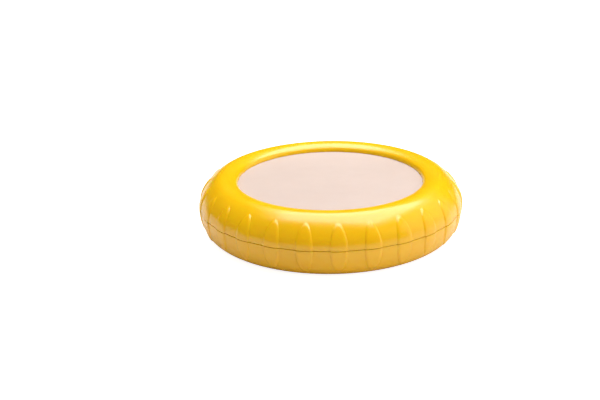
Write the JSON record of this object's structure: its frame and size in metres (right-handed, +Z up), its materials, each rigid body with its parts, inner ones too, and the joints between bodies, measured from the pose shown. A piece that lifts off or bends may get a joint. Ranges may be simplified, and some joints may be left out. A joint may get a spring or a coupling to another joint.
{
  "type": "food saver pod",
  "caption": "Round two-shell food saver pod with a translucent stretch window and a ribbed twist-off lid.",
  "frame": {"origin": "centre of the face that the pod stands on, under the foot ring", "axes": "+Z up, along the axis that the lid turns about; -Y faces the centre of one grip"},
  "size_m": [0.1198, 0.12, 0.0262],
  "materials": {
    "shell_yellow": "smooth moulded gloss",
    "liner_yellow": "satin moulded",
    "window_silicone": "frosted, milky, translucent",
    "seal_silicone": "soft satin",
    "foot_rubber": "matte soft-touch"
  },
  "bodies": {
    "base": {"base_shell": "shell_yellow", "food_dish": "liner_yellow", "foot_ring": "foot_rubber"},
    "seal": {"seal_ring": "seal_silicone"},
    "lid": {"lid_ring": "shell_yellow", "membrane": "window_silicone", "lid_liner": "liner_yellow"}
  },
  "joints": [
    {"name": "lid_rise", "type": "slide", "parent": "base", "child": "seal", "axis": [0, 0, 1], "range_m": [0, 0.0241]},
    {"name": "lid_twist", "type": "hinge", "parent": "seal", "child": "lid", "pos_m": [0, 0, 0], "axis": [0, 0, 1], "range_deg": [0, 360]}
  ],
  "couplings": [
    {"joint": "lid_rise", "follows": "lid_twist", "m_per_rad": 0.0038197}
  ]
}
